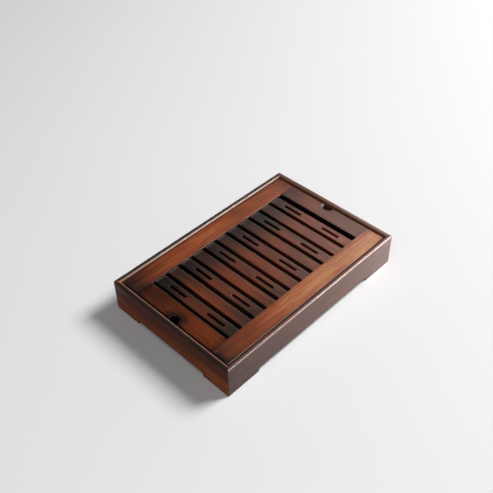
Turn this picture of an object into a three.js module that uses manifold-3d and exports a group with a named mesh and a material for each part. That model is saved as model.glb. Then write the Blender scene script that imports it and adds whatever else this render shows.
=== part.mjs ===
// Tea tray: a mitred box on four corner feet, a drop-in water basin and a lift-off slatted lid.
// Millimetres. +X runs along the tray, +Z is up, and the origin is the middle of the footprint.
import * as THREE from "three";
import { mergeVertices } from "three/addons/utils/BufferGeometryUtils.js";
import Module from "manifold-3d";

const wasm = await Module();
wasm.setup();

// Box walls
const trayLength = 350;
const trayWidth = 230;
const trayHeight = 55;
const rimThickness = 7;
const ledgeWidth = 2.5;
const cornerRadius = 2;
const bottomChamfer = 1;

// Corner feet, left by a long low arch in the bottom edge of each wall
const archHeight = 6.5;
const longWallFoot = 58;
const shortWallFoot = 49;
const archRadius = 3;

// Bottom panel, held in a groove above the arches
const panelThickness = 3;
const panelLip = 1.5;
const grooveDepth = 4;
const panelCornerRadius = 6;

// Corner keys, two across each mitre
const keyThickness = 2.5;
const keyLeg = 18;
const keyBelowLedge = 3.5;
const keyAbovePanel = 1;

// Water basin
const basinWall = 1.5;
const basinFloor = 1.5;
const flangeThickness = 1.6;
const flangeCornerRadius = 3;
const basinCornerRadius = 14;
const basinDraft = 1.5;
const basinFloorRadius = 5;

// Lid frame
const lidRecess = 4;
const lidThickness = 10;
const lidEndGap = 3;
const lidSideGap = 2.3;
const railWidth = 30;
const endBoardWidth = 28;
const frameArris = 1.2;
const notchRadius = 10;

// Slats
const slatWidth = 17.5;
const slatThickness = 6.6;
const slatGap = 6.8;
const slatArris = 0.9;
const slotWidth = 4.8;
const slotLength = 34;

// Mortise and tenon joints of the lid
const tenonThickness = 3;
const tenonLength = 6;
const slatShoulder = 3.5;
const endBoardShoulder = 6;

// Clearances
const mitreGap = 0.1;
const joineryGap = 0.15;
const blindEndGap = 0.4;
const basinGap = 0.5;
const seatGap = 0.2;

// Facets in each arc of a round stretch, all even
const rimFacets = 8;
const arrisFacets = 4;
const cornerFacets = 4;
const archFacets = 6;
const panelCornerFacets = 4;
const basinCornerFacets = 8;
const basinFloorFacets = 4;
const slotEndFacets = 10;
const notchFacets = 40;

// Margin by which a cutting solid runs past the face that it cuts
const cutPast = 2;

// Sizes that follow from the ones above
const wallThickness = rimThickness + ledgeWidth;
const innerLength = trayLength - 2 * wallThickness;
const innerWidth = trayWidth - 2 * wallThickness;
const panelBottom = archHeight + panelLip;
const panelTop = panelBottom + panelThickness;
const lidTop = trayHeight - lidRecess;
const lidBottom = lidTop - lidThickness;
const flangeTop = lidBottom - seatGap;
const ledgeTop = flangeTop - flangeThickness - seatGap;
const lidLength = trayLength - 2 * (rimThickness + lidEndGap);
const lidWidth = trayWidth - 2 * (rimThickness + lidSideGap);
const openingLength = lidLength - 2 * endBoardWidth;
const openingWidth = lidWidth - 2 * railWidth;
const boardLength = openingWidth - 2 * joineryGap;
const slatCount = Math.max(1, Math.round((openingLength - slatGap) / (slatWidth + slatGap)));
const slatPitch = slatWidth + (openingLength - slatCount * slatWidth) / (slatCount + 1);
const slatTenonWidth = slatWidth - 2 * slatShoulder;
const endTenonWidth = endBoardWidth - 2 * endBoardShoulder;
const keyHeights = {
  lower: panelTop + keyAbovePanel + keyThickness / 2,
  upper: ledgeTop - keyBelowLedge - keyThickness / 2,
};

const bamboo = {
  walls: new THREE.MeshStandardMaterial({ color: 0x4a2c22, roughness: 0.38 }),
  keys: new THREE.MeshStandardMaterial({ color: 0x2b1711, roughness: 0.45 }),
  panel: new THREE.MeshStandardMaterial({ color: 0x6b4632, roughness: 0.6 }),
  frame: new THREE.MeshStandardMaterial({ color: 0x7a4128, roughness: 0.34 }),
  slats: new THREE.MeshStandardMaterial({ color: 0x5b3a2e, roughness: 0.34 }),
};
const basinPlastic = new THREE.MeshStandardMaterial({ color: 0x101213, roughness: 0.4 });

// Turns a closed geometry into a solid that can be joined and cut.
function solid(geometry) {
  const bare = geometry.clone();
  bare.deleteAttribute("normal");
  bare.deleteAttribute("uv");
  const merged = mergeVertices(bare);
  const vertProperties = merged.attributes.position.array;
  const triVerts = Uint32Array.from(merged.index.array);
  return new wasm.Manifold(new wasm.Mesh({ numProp: 3, vertProperties, triVerts }));
}

// Turns a finished solid back into a named mesh.
function named(name, body, material) {
  const { vertProperties, triVerts } = body.getMesh();
  const geometry = new THREE.BufferGeometry();
  geometry.setAttribute("position", new THREE.BufferAttribute(vertProperties, 3));
  geometry.setIndex(new THREE.BufferAttribute(triVerts, 1));
  geometry.computeVertexNormals();
  const mesh = new THREE.Mesh(geometry, material);
  mesh.name = name;
  return mesh;
}

// Each arc of a shape is cut into twice its curve segments.
function extrude(shape, depth, facets) {
  return new THREE.ExtrudeGeometry(shape, { depth, curveSegments: facets / 2, bevelEnabled: false });
}

// Extrudes a (y, z) section along X, centred on x = 0.
function alongX(section, length, facets) {
  const geometry = extrude(section, length, facets).translate(0, 0, -length / 2);
  const turn = new THREE.Matrix4().set(0, 0, 1, 0, 1, 0, 0, 0, 0, 1, 0, 0, 0, 0, 0, 1);
  return solid(geometry.applyMatrix4(turn));
}

// Extrudes an (x, z) section along Y, centred on y = 0.
function alongY(section, length, facets) {
  const geometry = extrude(section, length, facets).translate(0, 0, -length / 2);
  return solid(geometry.rotateX(Math.PI / 2));
}

// Extrudes an (x, y) outline along Z between two heights.
function alongZ(outline, low, high, facets) {
  return solid(extrude(outline, high - low, facets).translate(0, 0, low));
}

function block(sizeX, sizeY, sizeZ, x, y, z) {
  return solid(new THREE.BoxGeometry(sizeX, sizeY, sizeZ).translate(x, y, z));
}

function polygon(points) {
  return new THREE.Shape(points.map(([x, y]) => new THREE.Vector2(x, y)));
}

function roundedRectangle(length, width, radius) {
  const x = length / 2 - radius;
  const y = width / 2 - radius;
  const shape = new THREE.Shape();
  shape.absarc(x, y, radius, 0, Math.PI / 2);
  shape.absarc(-x, y, radius, Math.PI / 2, Math.PI);
  shape.absarc(-x, -y, radius, Math.PI, 1.5 * Math.PI);
  shape.absarc(x, -y, radius, 1.5 * Math.PI, 2 * Math.PI);
  shape.closePath();
  return shape;
}

// A rectangle standing on z = 0 whose two upper corners are rounded.
function easedSection(width, height, radius) {
  const shape = new THREE.Shape();
  shape.moveTo(-width / 2, 0);
  shape.lineTo(width / 2, 0);
  shape.absarc(width / 2 - radius, height - radius, radius, 0, Math.PI / 2);
  shape.absarc(-width / 2 + radius, height - radius, radius, Math.PI / 2, Math.PI);
  shape.closePath();
  return shape;
}

// A flat board on z = 0 with all four upper edges eased.
function easedBoard(sizeX, sizeY, thickness, arris) {
  const across = alongX(easedSection(sizeY, thickness, arris), sizeX, arrisFacets);
  const along = alongY(easedSection(sizeX, thickness, arris), sizeY, arrisFacets);
  return across.intersect(along);
}

// Section of a wall: y runs inwards from the outer face. The top edge is a full round, the ledge carries the
// basin, and the groove below it takes the edge of the bottom panel.
function wallSection() {
  const rimRadius = rimThickness / 2;
  const grooveFloor = wallThickness - grooveDepth;
  const grooveTop = panelTop + joineryGap;
  const grooveBottom = panelBottom - joineryGap;
  const shape = new THREE.Shape();
  shape.moveTo(wallThickness, 0);
  shape.lineTo(wallThickness, grooveBottom);
  shape.lineTo(grooveFloor, grooveBottom);
  shape.lineTo(grooveFloor, grooveTop);
  shape.lineTo(wallThickness, grooveTop);
  shape.lineTo(wallThickness, ledgeTop);
  shape.lineTo(rimThickness, ledgeTop);
  shape.absarc(rimRadius, trayHeight - rimRadius, rimRadius, 0, Math.PI / 2);
  shape.absarc(rimRadius, trayHeight - rimRadius, rimRadius, Math.PI / 2, Math.PI);
  shape.lineTo(0, bottomChamfer);
  shape.lineTo(bottomChamfer, 0);
  shape.closePath();
  return shape;
}

// The arch under a wall, from foot to foot: each end turns up in an S of two equal arcs.
function archShape(length, footLength) {
  const radius = Math.min(archRadius, archHeight / 2);
  const end = length / 2 - footLength;
  const crown = end - radius;
  const toe = end + radius;
  const shape = new THREE.Shape();
  shape.moveTo(-toe, -cutPast);
  shape.lineTo(toe, -cutPast);
  shape.absarc(toe, radius, radius, 1.5 * Math.PI, Math.PI, true);
  shape.absarc(crown, archHeight - radius, radius, 0, Math.PI / 2);
  shape.absarc(-crown, archHeight - radius, radius, Math.PI / 2, Math.PI);
  shape.absarc(-toe, radius, radius, 0, -Math.PI / 2, true);
  shape.closePath();
  return shape;
}

// The right-angled kerf that takes a corner key, with its point past the outer corner.
function kerf(height) {
  const reach = keyLeg + joineryGap * Math.SQRT2 + cutPast;
  const outline = polygon([[-cutPast, -cutPast], [reach, -cutPast], [-cutPast, reach]]);
  const half = keyThickness / 2 + joineryGap;
  return alongZ(outline, height - half, height + half, cornerFacets);
}

// A wall lies along X with its outer face on y = 0, and depth is the tray's size across it.
function wall(name, length, depth, footLength) {
  const halfOuter = length / 2 - mitreGap;
  const halfInner = halfOuter - wallThickness - cutPast;
  const inner = wallThickness + cutPast;
  const mitres = polygon([[-halfOuter, 0], [halfOuter, 0], [halfInner, inner], [-halfInner, inner]]);
  const outside = alongZ(roundedRectangle(length, depth, cornerRadius), 0, trayHeight, cornerFacets);
  let body = alongX(wallSection(), length, rimFacets)
    .intersect(alongZ(mitres, 0, trayHeight, cornerFacets))
    .intersect(outside.translate([0, depth / 2, 0]))
    .subtract(alongY(archShape(length, footLength), 2 * (wallThickness + cutPast), archFacets));
  for (const height of Object.values(keyHeights)) {
    const leftKerf = kerf(height).translate([-length / 2, 0, 0]);
    const rightKerf = kerf(height).mirror([1, 0, 0]).translate([length / 2, 0, 0]);
    body = body.subtract(leftKerf).subtract(rightKerf);
  }
  return named(name, body, bamboo.walls);
}

// The four walls, each turned so that its inner side faces the middle.
function walls() {
  const group = new THREE.Group();
  const front = wall("front_wall", trayLength, trayWidth, longWallFoot);
  front.position.y = -trayWidth / 2;
  const back = wall("back_wall", trayLength, trayWidth, longWallFoot);
  back.position.y = trayWidth / 2;
  back.rotation.z = Math.PI;
  const left = wall("left_wall", trayWidth, trayLength, shortWallFoot);
  left.position.x = -trayLength / 2;
  left.rotation.z = -Math.PI / 2;
  const right = wall("right_wall", trayWidth, trayLength, shortWallFoot);
  right.position.x = trayLength / 2;
  right.rotation.z = Math.PI / 2;
  return group.add(front, back, left, right);
}

// A key is a right-angled plate whose legs lie flush with the two outer faces of its corner.
function cornerKey(name, height) {
  const outline = new THREE.Shape();
  outline.moveTo(keyLeg, 0);
  outline.lineTo(0, keyLeg);
  outline.absarc(cornerRadius, cornerRadius, cornerRadius, Math.PI, 1.5 * Math.PI);
  outline.closePath();
  const body = alongZ(outline, height - keyThickness / 2, height + keyThickness / 2, cornerFacets);
  return named(name, body, bamboo.keys);
}

function cornerKeys() {
  const group = new THREE.Group();
  const corners = [
    { name: "front_left", x: -1, y: -1, turn: 0 },
    { name: "front_right", x: 1, y: -1, turn: Math.PI / 2 },
    { name: "back_right", x: 1, y: 1, turn: Math.PI },
    { name: "back_left", x: -1, y: 1, turn: -Math.PI / 2 },
  ];
  for (const corner of corners) {
    const place = new THREE.Group();
    place.position.set((corner.x * trayLength) / 2, (corner.y * trayWidth) / 2, 0);
    place.rotation.z = corner.turn;
    for (const [level, height] of Object.entries(keyHeights)) {
      place.add(cornerKey(`key_${corner.name}_${level}`, height));
    }
    group.add(place);
  }
  return group;
}

function bottomPanel() {
  const reach = 2 * (grooveDepth - blindEndGap);
  const outline = roundedRectangle(innerLength + reach, innerWidth + reach, panelCornerRadius);
  return named("bottom_panel", alongZ(outline, panelBottom, panelTop, panelCornerFacets), bamboo.panel);
}

// One closed ring of a loft: a rounded rectangle at a height.
function ring(length, width, radius, z) {
  const outline = roundedRectangle(length, width, radius).getPoints(basinCornerFacets / 2);
  const points = outline.slice(0, 4 * (basinCornerFacets + 1));
  return points.map((point) => [point.x, point.y, z]);
}

// Skins a stack of rings with equal counts and closes the first and the last one.
function loft(rings) {
  const count = rings[0].length;
  const index = [];
  for (let row = 0; row + 1 < rings.length; row++) {
    for (let i = 0; i < count; i++) {
      const a = row * count + i;
      const b = row * count + ((i + 1) % count);
      index.push(a, a + count, b, b, a + count, b + count);
    }
  }
  const last = (rings.length - 1) * count;
  for (let i = 1; i + 1 < count; i++) {
    index.push(0, i, i + 1);
    index.push(last, last + i + 1, last + i);
  }
  const geometry = new THREE.BufferGeometry();
  geometry.setAttribute("position", new THREE.Float32BufferAttribute(rings.flat(2), 3));
  return geometry.setIndex(index);
}

// The basin hangs by its flange on the ledge. Its walls draw in towards the floor by the draft, and a round
// joins them to the floor. Rings run from the inside floor, over the flange, to the underside.
function waterBasin() {
  const bottom = panelTop + seatGap;
  const flangeBottom = flangeTop - flangeThickness;
  const topLength = innerLength - 2 * basinGap;
  const topWidth = innerWidth - 2 * basinGap;
  const inset = (distance, radius, z) => {
    return ring(topLength - 2 * distance, topWidth - 2 * distance, radius, z);
  };
  const floorRound = (distance, z, radius, corner) => {
    const rings = [];
    for (let step = 0; step <= basinFloorFacets; step++) {
      const angle = (step / basinFloorFacets) * (Math.PI / 2);
      const inwards = distance + radius * (1 - Math.sin(angle));
      rings.push(inset(inwards, corner - inwards, z + radius * (1 - Math.cos(angle))));
    }
    return rings;
  };
  const innerRound = basinFloorRadius - basinWall;
  const flangeReach = ledgeWidth;
  const flangeLength = topLength + 2 * flangeReach;
  const flangeWidth = topWidth + 2 * flangeReach;
  const rings = [
    ...floorRound(basinDraft + basinWall, bottom + basinFloor, innerRound, basinCornerRadius),
    inset(basinWall, basinCornerRadius - basinWall, flangeTop),
    ring(flangeLength, flangeWidth, flangeCornerRadius, flangeTop),
    ring(flangeLength, flangeWidth, flangeCornerRadius, flangeBottom),
    inset(0, basinCornerRadius, flangeBottom),
    ...floorRound(basinDraft, bottom, basinFloorRadius, basinCornerRadius).reverse(),
  ];
  return named("water_basin", solid(loft(rings)), basinPlastic);
}

// A tenon runs along Y past the end of its board, and reaches back into the board to join it.
function tenon(width, end, centreZ) {
  const size = tenonLength + joineryGap + cutPast;
  const y = end * (boardLength / 2 - cutPast + size / 2);
  return block(width, size, tenonThickness, 0, y, centreZ);
}

function withTenons(board, width, centreZ) {
  return board.add(tenon(width, 1, centreZ)).add(tenon(width, -1, centreZ));
}

function slatPosition(number) {
  return (number - (slatCount - 1) / 2) * slatPitch;
}

// A rail lies along X with its mortised edge towards +Y.
function rail(name) {
  let body = easedBoard(lidLength, railWidth, lidThickness, frameArris);
  const depth = tenonLength + blindEndGap;
  const mortise = (x, width, centreZ) => {
    const y = railWidth / 2 - depth / 2 + cutPast / 2;
    const play = 2 * joineryGap;
    body = body.subtract(block(width + play, depth + cutPast, tenonThickness + play, x, y, centreZ));
  };
  for (let number = 0; number < slatCount; number++) {
    mortise(slatPosition(number), slatTenonWidth, slatThickness / 2);
  }
  for (const side of [-1, 1]) {
    mortise((side * (lidLength - endBoardWidth)) / 2, endTenonWidth, lidThickness / 2);
  }
  return named(name, body, bamboo.frame);
}

// An end board lies along Y with the finger notch in the middle of its edge towards -X.
function endBoard(name) {
  const board = easedBoard(endBoardWidth, boardLength, lidThickness, frameArris);
  const notch = new THREE.Shape().absarc(-endBoardWidth / 2, 0, notchRadius, 0, 2 * Math.PI);
  const cutter = alongZ(notch, -cutPast, lidThickness + cutPast, notchFacets);
  const body = withTenons(board.subtract(cutter), endTenonWidth, lidThickness / 2);
  return named(name, body, bamboo.frame);
}

function slotOutline() {
  const reach = (slotLength - slotWidth) / 2;
  const shape = new THREE.Shape();
  shape.absarc(0, reach, slotWidth / 2, 0, Math.PI);
  shape.absarc(0, -reach, slotWidth / 2, Math.PI, 2 * Math.PI);
  shape.closePath();
  return shape;
}

// A slat lies along Y. Slotted ones have a long slot in the middle of each half.
function slat(name, slotted) {
  let body = easedBoard(slatWidth, boardLength, slatThickness, slatArris);
  if (slotted) {
    for (const half of [-1, 1]) {
      const slot = alongZ(slotOutline(), -cutPast, slatThickness + cutPast, slotEndFacets);
      body = body.subtract(slot.translate([0, (half * boardLength) / 4, 0]));
    }
  }
  return named(name, withTenons(body, slatTenonWidth, slatThickness / 2), bamboo.slats);
}

// The lid: two rails, two end boards between them, and the slats flush with their underside.
function lid() {
  const group = new THREE.Group();
  group.position.z = lidBottom;
  const railCentre = (lidWidth - railWidth) / 2;
  const endCentre = (lidLength - endBoardWidth) / 2;
  const frontRail = rail("front_rail");
  frontRail.position.y = -railCentre;
  const backRail = rail("back_rail");
  backRail.position.y = railCentre;
  backRail.rotation.z = Math.PI;
  const leftEnd = endBoard("left_end_board");
  leftEnd.position.x = -endCentre;
  const rightEnd = endBoard("right_end_board");
  rightEnd.position.x = endCentre;
  rightEnd.rotation.z = Math.PI;
  group.add(frontRail, backRail, leftEnd, rightEnd);
  for (let number = 0; number < slatCount; number++) {
    const label = String(number + 1).padStart(2, "0");
    const piece = slat(`slat_${label}`, number % 2 === 0);
    piece.position.x = slatPosition(number);
    group.add(piece);
  }
  return group;
}

const teaTray = new THREE.Group();
teaTray.add(walls(), cornerKeys(), bottomPanel(), waterBasin(), lid());

export default teaTray;
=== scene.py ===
"""Tea tray of dark pressed bamboo: a mitred box on corner feet, a black basin and a slatted lift-off lid."""
import math
from functools import partialmethod
from itertools import product

import bmesh
import bpy
from bpy.props import FloatProperty, FloatVectorProperty, IntProperty, PointerProperty
from bpy.types import Operator, Panel, PropertyGroup
from mathutils import Matrix, Vector


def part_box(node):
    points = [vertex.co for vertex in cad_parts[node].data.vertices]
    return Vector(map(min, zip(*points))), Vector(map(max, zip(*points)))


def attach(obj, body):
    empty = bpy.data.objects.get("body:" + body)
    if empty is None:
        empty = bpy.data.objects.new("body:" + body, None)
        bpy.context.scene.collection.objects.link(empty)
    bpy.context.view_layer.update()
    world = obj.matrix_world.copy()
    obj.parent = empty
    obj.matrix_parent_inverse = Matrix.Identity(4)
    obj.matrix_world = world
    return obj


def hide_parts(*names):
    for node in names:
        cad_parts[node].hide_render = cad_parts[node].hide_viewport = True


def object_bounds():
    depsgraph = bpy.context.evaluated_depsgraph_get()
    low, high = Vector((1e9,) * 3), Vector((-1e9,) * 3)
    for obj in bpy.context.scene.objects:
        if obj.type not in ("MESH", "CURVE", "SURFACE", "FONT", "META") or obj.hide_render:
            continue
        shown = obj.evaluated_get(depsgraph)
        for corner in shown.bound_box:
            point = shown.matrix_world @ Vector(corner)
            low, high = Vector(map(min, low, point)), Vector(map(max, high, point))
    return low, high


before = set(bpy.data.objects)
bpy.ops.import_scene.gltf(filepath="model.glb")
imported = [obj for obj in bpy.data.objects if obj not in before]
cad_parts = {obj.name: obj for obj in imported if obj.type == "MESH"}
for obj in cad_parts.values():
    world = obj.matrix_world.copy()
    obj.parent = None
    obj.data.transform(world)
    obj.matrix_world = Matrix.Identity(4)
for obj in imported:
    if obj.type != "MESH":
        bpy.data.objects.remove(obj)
CAD_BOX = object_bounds()

bl_info = {
    "name": "Bamboo tea tray",
    "version": (1, 0, 0),
    "blender": (4, 5, 0),
    "location": "3D View > Sidebar > Tea tray",
    "description": "Dresses the tea tray's frame with finished bamboo boards, a moulded basin and a stage",
    "category": "Add Mesh",
}

MM = 0.001
QUARTER = math.pi / 2
X_AXIS, Y_AXIS, Z_AXIS = range(3)

# Places and sizes from the frame
TRAY_LENGTH = CAD_BOX[1].x - CAD_BOX[0].x
TRAY_WIDTH = CAD_BOX[1].y - CAD_BOX[0].y
TRAY_HEIGHT = CAD_BOX[1].z - CAD_BOX[0].z
WALL_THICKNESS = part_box("front_wall")[1].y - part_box("front_wall")[0].y
RAIL_LOW, RAIL_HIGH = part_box("front_rail")
END_LOW, END_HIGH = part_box("left_end_board")
SLAT_LOW, SLAT_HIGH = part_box("slat_01")
PANEL_LOW, PANEL_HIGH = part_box("bottom_panel")
BASIN_LOW, BASIN_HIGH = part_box("water_basin")
KEY_LOW, KEY_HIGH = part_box("key_front_left_lower")
UPPER_KEY_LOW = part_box("key_front_left_upper")[0]
KEY_LEG = KEY_HIGH.x - KEY_LOW.x
KEY_THICKNESS = KEY_HIGH.z - KEY_LOW.z
CORNERS = ("front_left", "front_right", "back_right", "back_left")
KEY_NODES = [f"key_{corner}_{level}" for corner in CORNERS for level in ("lower", "upper")]
SLAT_NODES = sorted(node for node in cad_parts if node.startswith("slat_"))
OPENING_LENGTH = 2 * abs(END_HIGH.x)
OPENING_WIDTH = 2 * abs(RAIL_HIGH.y)
SLAT_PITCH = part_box("slat_02")[0].x - SLAT_LOW.x

# Small sizes and the fineness of roundings
SHARP = math.radians(35.0)
WELD = 1e-7
MERGE = 1e-6
# Strip of flat kept beside each rounding, so that the flat face beyond it shades flat.
STRIP = 0.4 * MM
SMALL_EASE = 0.5 * MM
GLUE_GAP = 0.03 * MM
PANEL_GAP = 0.1 * MM
PANEL_CORNER = 6 * MM
FLANGE_FILLET = 0.3 * MM
LEAST_RADIUS = 2 * MM
SLAT_CORNER = 0.1 * MM
# Depth in a wall at which the rounding of an upright corner ends.
CORNER_FADE = 3.5 * MM
# A little under half, so that the two bends at a slot's end stay apart.
ROUND_END = 0.498
# Share of a tenon's length that stays inside the slat.
TENON_ROOT = 0.4
LOW_STEPS, TOP_STEPS, BEND_STEPS = 3, 5, 6
MITRE_STEPS, SLAT_STEPS, SLOT_STEPS = 4, 2, 10
RIM_STEPS, NOTCH_STEPS = 20, 24

# Grain as cells per metre along and across it, detail and shift: strands, fibres, bands and pores
GRAIN = ((22.0, 620.0, 3.0, 0.0), (90.0, 2300.0, 2.0, 3.1), (6.0, 90.0, 2.0, 7.7), (170.0, 2600.0, 1.0, 5.3))
GRAIN_DEPTH = 0.4 * MM
# How a pattern's shift is spread over the axes.
SKEW = (1.0, 0.37, 0.71)
TONE_STOPS = (0.0, 0.2, 0.45, 0.7, 1.0)
SLAT_WARMTH = (0.29, 0.46, 0.33, 0.45, 0.44, 0.5, 0.38, 0.42, 0.36, 0.46, 0.47)
# Reach of the lid's stains into the wood in millimetres.
STAIN_DEPTH = 20
# Roughness of the lid's lacquer.
SATIN = 0.34
LACQUER_IOR = 1.45
# Tones of the boards before stain, painted shade and painted highlight.
RAIL_TONE, END_TONE, LONG_TONE, SHORT_TONE = 0.62, 0.38, 0.30, 0.345
KEY_TONE, PANEL_TONE = 0.28, 0.5
WALL_LACQUER = {"relief": 0.03, "figure": 0.6}

# Lamps by the setting of their power, azimuth and elevation in degrees, distance, width and height in metres
LAMPS = {
    "Key lamp": ("key_power", -24.5, 45.4, 4.2, 1.55, 1.55),
    "Fill lamp": ("fill_power", -142.0, 55.0, 2.4, 2.0, 2.0),
    "High card": ("card_power", -11.0, 41.5, 2.0, 2.85, 0.85),
    "Low card": ("strip_power", -60.0, 5.5, 1.2, 1.0, 0.32),
    "Near card": ("near_power", -42.0, 8.0, 0.6, 0.45, 0.25),
    "Back card": ("back_power", 30.0, 8.0, 1.6, 1.6, 0.45),
}
LAMP_AIM = Vector((0, 0, 0.05))
ROOM_WALL = Vector((0.97, 0.24))
FLOOR_REACH = 4.0
CAMERA_PLACE = (-0.5541, -0.5259, 0.7885)
CAMERA_AZIMUTH = math.radians(-45.355)
CAMERA_ELEVATION = math.radians(42.987)
CAMERA_ROLL = math.radians(-0.832)


def amount(label, description, value, least=0.0, **settings):
    """A number that a user may change."""
    return FloatProperty(name=label, description=description, default=value, min=least, **settings)


def length(label, description, millimetres):
    """A length that a user may change."""
    return amount(label, description, millimetres * MM, precision=4, subtype="DISTANCE", unit="LENGTH")


def power(label, description, watts):
    """A lamp's power that a user may change."""
    return amount(label, description, watts, subtype="POWER", unit="POWER")


def colour(label, description, *shade):
    """A linear colour that a user may change."""
    return FloatVectorProperty(name=label, description=description, default=shade, size=3,
                               min=0.0, max=1.0, subtype="COLOR")


class TrayBoxSizes(PropertyGroup):
    """Sizes of the walls, the corner keys and the bottom panel."""
    rim: length("Rim thickness", "Thickness of a wall at its round top", 7)
    ledge: length("Ledge height", "Height of the ledge that carries the basin", 39)
    corner: length("Corner radius", "Rounding of the box's upright corners", 1.2)
    foot_ease: length("Foot easing", "Rounding of the outer lower edge", 0.6)
    inner_ease: length("Inner easing", "Rounding of the inner lower edge", 0.8)
    arch: length("Arch height", "Height of the cut-out between two feet", 6.5)
    arch_radius: length("Arch radius", "Radius of a cut-out's bends", 3)
    long_foot: length("Long wall foot", "Length of a foot along a long wall", 58)
    short_foot: length("Short wall foot", "Length of a foot along a short wall", 49)
    groove: length("Groove depth", "Depth of the bottom panel's groove", 4)
    mitre_gap: length("Mitre gap", "Glue line at each wall's mitred end", 0.05)
    key_gap: length("Key gap", "Glue line above and below a corner key", 0.04)


class BasinSizes(PropertyGroup):
    """Sizes of the water basin."""
    wall: length("Wall", "Thickness of the basin's wall and floor", 1.5)
    flange: length("Flange", "Thickness of the flange on the ledge", 1.6)
    flange_reach: length("Flange reach", "How far the flange stands out past the wall", 2.5)
    corner: length("Corner radius", "Radius of the basin's upright corners", 14)
    flange_corner: length("Flange corner", "Radius of the flange's corners", 3)
    draft: length("Draft", "How far the walls draw in towards the floor", 1.5)
    floor_radius: length("Floor radius", "Radius between the walls and the floor", 5)


class LidSizes(PropertyGroup):
    """Sizes of the lid's frame and slats."""
    arris: length("Frame easing", "Rounding of the frame's outer upper edges", 1.0)
    inner_arris: length("Inner easing", "Rounding of the upper edges round the slats", 0.4)
    lower_arris: length("Lower easing", "Rounding of the frame's lower edges", 0.6)
    notch: length("Notch depth", "Depth of the finger notch in each end board", 10)
    notch_corner: length("Notch corner", "Rounding where a notch meets the edge", 1.8)
    slat_arris: length("Slat easing", "Rounding of a slat's edges", 0.55)
    slot_width: length("Slot width", "Width of a drain slot", 4.8)
    slot_length: length("Slot length", "Length of a drain slot with its round ends", 34)
    slot_arris: length("Slot easing", "Rounding of a drain slot's edges", 0.4)
    tenon: length("Tenon", "How far a slat's tenons are let into the rails", 1)
    shoulder: length("Shoulder", "Step from a slat's sides to its tenons", 1.6)
    end_gap: length("End gap", "Gap between a slat's end and the rail", 0.1)
    slats: IntProperty(name="Slats", description="How many slats the lid has", default=len(SLAT_NODES), min=2)


class BambooColours(PropertyGroup):
    """Colours of the stained bamboo, from charred to honey, of the basin and of the floor."""
    char: colour("Char", "Stain gathered in corners, notches and edges", 0.007, 0.0035, 0.0026)
    deep: colour("Deep", "Darkest strands", 0.034, 0.0100, 0.0048)
    heart: colour("Heart", "Middle brown", 0.115, 0.0230, 0.0064)
    amber: colour("Amber", "Warm strands", 0.258, 0.0560, 0.0130)
    honey: colour("Honey", "Palest strands", 0.410, 0.181, 0.0620)
    # Painted highlight: this pale colour is laid on edges and rims where the light catches them.
    painted_highlight: colour("Worn", "Edges and rims rubbed pale", 0.50, 0.37, 0.32)
    basin: colour("Basin", "Moulded plastic", 0.0065, 0.007, 0.0075)
    floor: colour("Floor", "Plain pale floor", 0.80, 0.80, 0.806)


class StageSettings(PropertyGroup):
    """Lamps and camera."""
    key_power: power("Key power", "Soft key lamp high on the right", 204.0)
    fill_power: power("Fill power", "Wide lamp on the near side", 17.0)
    card_power: power("Card power", "Wide card high on the right", 31.0)
    strip_power: power("Strip power", "Low card in front on the right", 17.0)
    near_power: power("Near power", "Card close to the right end", 16.0)
    back_power: power("Back power", "Low card at the back on the right", 9.0)
    even: amount("Even light", "Light from all round", 0.03)
    horizon: amount("Horizon", "Light of the pale wall low on the right", 1.0)
    lens: amount("Lens", "Focal length", 52.96, 1.0, unit="CAMERA")


GROUPS = {
    "tea_tray_box": TrayBoxSizes,
    "tea_tray_basin": BasinSizes,
    "tea_tray_lid": LidSizes,
    "tea_tray_colours": BambooColours,
    "tea_tray_stage": StageSettings,
}


# Lines, rings and lofts
def trace(start, moves):
    """Points along straights and arcs, each with the normal on its left: (u, w, normal u, normal w)."""
    u, w = start
    heading = 0.0
    points = [(u, w, 0.0, 1.0)]
    for distance, turn, steps in moves:
        if turn == 0:
            u += distance * math.cos(heading)
            w += distance * math.sin(heading)
            points.append((u, w, -math.sin(heading), math.cos(heading)))
            continue
        side = math.copysign(distance, turn)
        centre_u = u - side * math.sin(heading)
        centre_w = w + side * math.cos(heading)
        for step in range(1, steps + 1):
            angle = heading + turn * step / steps
            u = centre_u + side * math.sin(angle)
            w = centre_w - side * math.cos(angle)
            points.append((u, w, -math.sin(angle), math.cos(angle)))
        heading += turn
    return points


def ease(radius, steps, face=False, side=False):
    """Pairs (setback, rise) of a quarter round from a face to a side, with a strip of each where asked."""
    angles = [QUARTER * step / steps for step in range(steps + 1)]
    pairs = [(radius * (1 - math.sin(angle)), radius * (1 - math.cos(angle))) for angle in angles]
    return [(radius + STRIP, 0.0)] * face + pairs + [(0.0, radius + STRIP)] * side


def rounded_rectangle(half_x, half_y, radius, z, steps=8):
    """A ring of points round a rectangle with round corners."""
    ring = []
    for turn, (side_x, side_y) in enumerate(((1, 1), (-1, 1), (-1, -1), (1, -1))):
        for step in range(steps + 1):
            angle = (turn + step / steps) * QUARTER
            ring.append((side_x * (half_x - radius) + radius * math.cos(angle),
                         side_y * (half_y - radius) + radius * math.sin(angle), z))
    return ring


def placed(name, data):
    """A new object in the scene."""
    made = bpy.data.objects.new(name, data)
    bpy.context.scene.collection.objects.link(made)
    return made


def piece(name, bm):
    """A finished object at the origin, smooth but for its sharp edges."""
    bmesh.ops.remove_doubles(bm, verts=bm.verts, dist=WELD)
    bmesh.ops.recalc_face_normals(bm, faces=bm.faces)
    mesh = bpy.data.meshes.new(name)
    bm.to_mesh(mesh)
    bm.free()
    mesh.shade_smooth()
    mesh.set_sharp_from_angle(angle=SHARP)
    return placed(name, mesh)


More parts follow.
